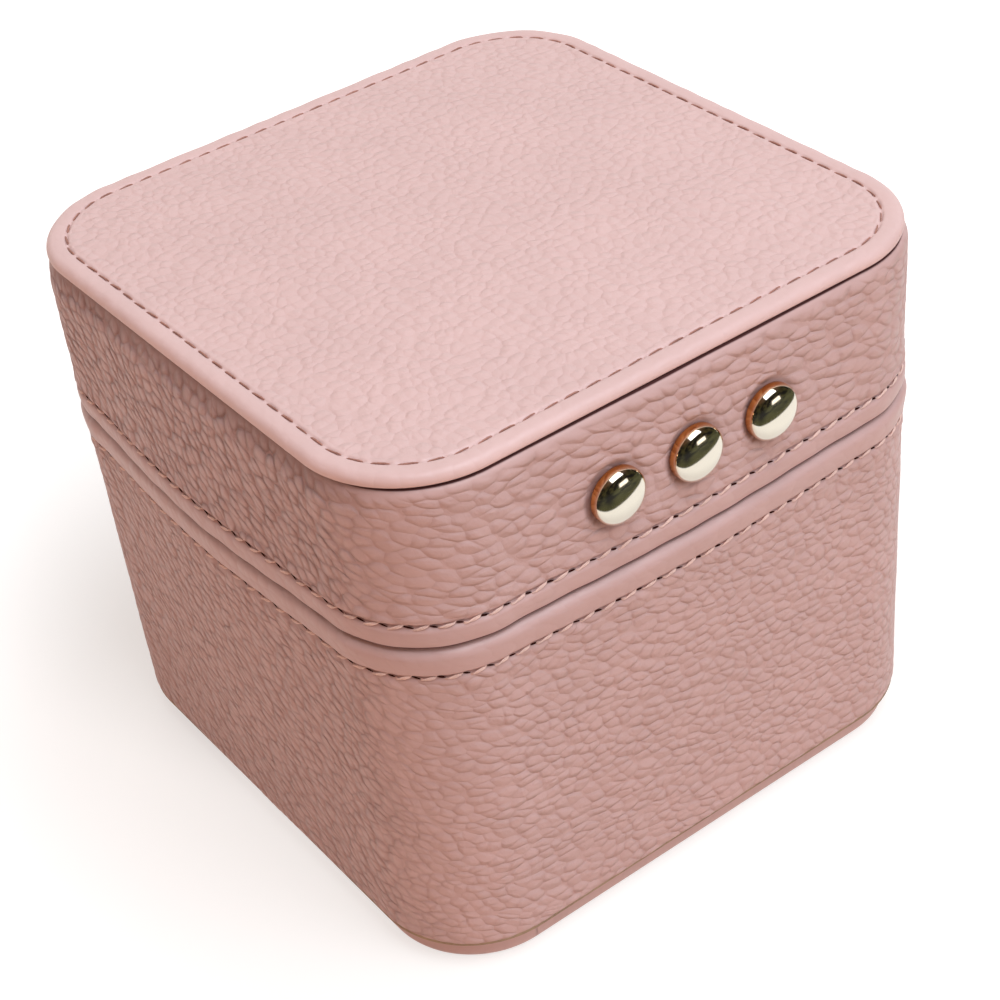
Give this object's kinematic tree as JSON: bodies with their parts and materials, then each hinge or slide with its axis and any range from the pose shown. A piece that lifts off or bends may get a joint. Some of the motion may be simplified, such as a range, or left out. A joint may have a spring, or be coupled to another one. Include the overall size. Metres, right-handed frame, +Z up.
{
  "type": "leather jewellery case",
  "caption": "Nearly cubic leather-covered jewellery case with rounded corners, stitched rims, dome studs, a hinged lid with a mirror, and a lift-out ring tray over a well.",
  "frame": {"origin": "middle of the underside of the bottom panel, on the surface that the case stands on", "axes": "+Z up; the front face with the studs faces -Y; the hinges are at +Y; +X to the right seen from the front"},
  "size_m": [0.1002, 0.1052, 0.0901],
  "materials": {
    "pink_leather": "pebbled, semi-matte",
    "greyboard": "matte",
    "velvet": "short pile",
    "thread": "twisted",
    "gold": "polished",
    "steel": "plain",
    "silvered_glass": "polished",
    "foam": "soft",
    "ribbon": "satin"
  },
  "bodies": {
    "base": {"bottom_board": "greyboard", "bottom_leather": "pink_leather", "base_shell": "greyboard", "base_leather": "pink_leather", "base_thread": "thread", "base_lining": "velvet", "tray_ledge": "velvet", "well_pad": "velvet", "base_magnets": "steel", "base_hinge_leaves": "gold", "hinge_pins": "steel", "base_hinge_nails": "gold"},
    "lid": {"lid_shell": "greyboard", "lid_leather": "pink_leather", "lid_thread": "thread", "lid_lining": "velvet", "lid_magnets": "steel", "panel_padding": "foam", "panel_board": "greyboard", "panel_leather": "pink_leather", "panel_thread": "thread", "lid_studs": "gold", "stud_washers": "steel", "lid_mirror": "silvered_glass", "mirror_frame": "velvet", "lid_hinge_leaves": "gold", "lid_hinge_nails": "gold"},
    "tray": {"tray_shell": "greyboard", "tray_lining": "velvet", "tray_cross_divider": "velvet", "tray_mid_divider": "velvet", "ring_rolls": "velvet", "tray_pads": "velvet", "tray_tabs": "ribbon"}
  },
  "joints": [
    {"name": "lid_hinge", "type": "hinge", "parent": "base", "child": "lid", "pos_m": [0, 0.0512, 0.0623], "axis": [-1, 0, 0], "range_deg": [0, 95]},
    {"name": "tray_lift", "type": "slide", "parent": "base", "child": "tray", "axis": [0, 0, 1], "range_m": [0, 0.02]}
  ]
}
